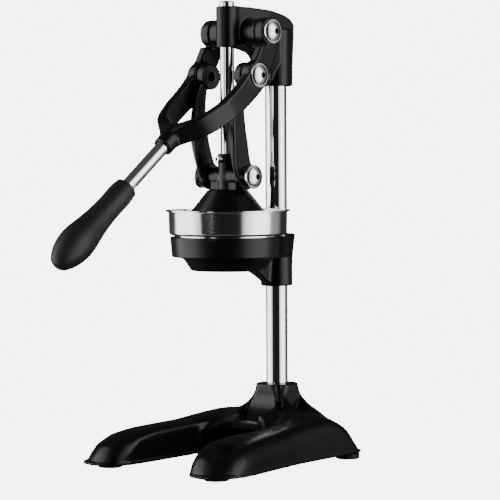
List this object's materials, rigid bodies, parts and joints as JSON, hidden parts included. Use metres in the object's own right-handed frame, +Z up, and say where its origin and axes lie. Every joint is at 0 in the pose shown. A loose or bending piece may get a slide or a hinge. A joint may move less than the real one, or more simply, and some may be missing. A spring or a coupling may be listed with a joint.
{
  "type": "manual citrus press",
  "caption": "Free-standing lever citrus press: handle yoke and links drive a rod-mounted press cone down into a steel cup on a cast column stand.",
  "frame": {"origin": "on the table under the middle of the bounding box, with the press down", "axes": "+X across the press, -Y to the front, where the handle points, +Z up along the column"},
  "size_m": [0.1808, 0.3239, 0.42],
  "materials": {
    "black_casting": "satin black enamel on a casting",
    "chrome": "bright chrome plate",
    "polished_steel": "polished stainless steel",
    "zinc_steel": "zinc-plated steel",
    "bronze_bush": "plain bronze",
    "grip_rubber": "soft matte rubber",
    "collar_plastic": "matte black plastic",
    "foot_rubber": "matte black rubber"
  },
  "bodies": {
    "stand": {"base_casting": "black_casting", "bowl_bracket": "black_casting", "bracket_set_screw": "zinc_steel", "column_bolt": "zinc_steel", "column_plug": "zinc_steel", "column_tube": "chrome", "column_washer": "zinc_steel", "foot_front_left": "foot_rubber", "foot_front_right": "foot_rubber", "foot_rear_left": "foot_rubber", "foot_rear_right": "foot_rubber", "guide_bush_lower": "bronze_bush", "guide_bush_upper": "bronze_bush", "head_casting": "black_casting", "head_set_screw": "zinc_steel", "pivot_screw_left": "chrome", "pivot_screw_right": "chrome", "pivot_washer_left": "chrome", "pivot_washer_right": "chrome", "reamer": "polished_steel", "steel_cup": "polished_steel", "strainer_plate": "polished_steel"},
    "lever": {"grip_collar": "collar_plastic", "handle_grip": "grip_rubber", "handle_rod": "chrome", "lever_yoke": "black_casting", "pivot_bush_left": "bronze_bush", "pivot_bush_right": "bronze_bush", "upper_link_screw_left": "chrome", "upper_link_screw_right": "chrome", "upper_link_washer_left": "chrome", "upper_link_washer_right": "chrome"},
    "press": {"cone_set_screw": "chrome", "lower_screw_left": "chrome", "lower_screw_right": "chrome", "lower_sleeve_left": "chrome", "lower_sleeve_right": "chrome", "lower_washer_left": "chrome", "lower_washer_right": "chrome", "press_cone": "black_casting", "press_rod": "chrome", "rod_cap": "chrome"},
    "link_left_body": {"link_left": "black_casting", "lower_bush_left": "bronze_bush"},
    "link_right_body": {"link_right": "black_casting", "lower_bush_right": "bronze_bush"}
  },
  "joints": [
    {"name": "lever_hinge", "type": "hinge", "parent": "stand", "child": "lever", "pos_m": [0, 0.07283, 0.3917], "axis": [-1, 0, 0], "range_deg": [0, 90]},
    {"name": "press_slide", "type": "slide", "parent": "stand", "child": "press", "axis": [0, 0, 1], "range_m": [0, 0.06045]},
    {"name": "link_hinge_left", "type": "hinge", "parent": "press", "child": "link_left_body", "pos_m": [0, 0.05493, 0.261], "axis": [1, 0, 0], "range_deg": [0, 13.74]},
    {"name": "link_hinge_right", "type": "hinge", "parent": "press", "child": "link_right_body", "pos_m": [0, 0.05493, 0.261], "axis": [1, 0, 0], "range_deg": [0, 13.74]}
  ],
  "couplings": [
    {"joint": "press_slide", "follows": "lever_hinge", "m_per_rad": 0.03848},
    {"joint": "link_hinge_left", "follows": "lever_hinge", "ratio": 0.1526},
    {"joint": "link_hinge_right", "follows": "lever_hinge", "ratio": 0.1526}
  ]
}
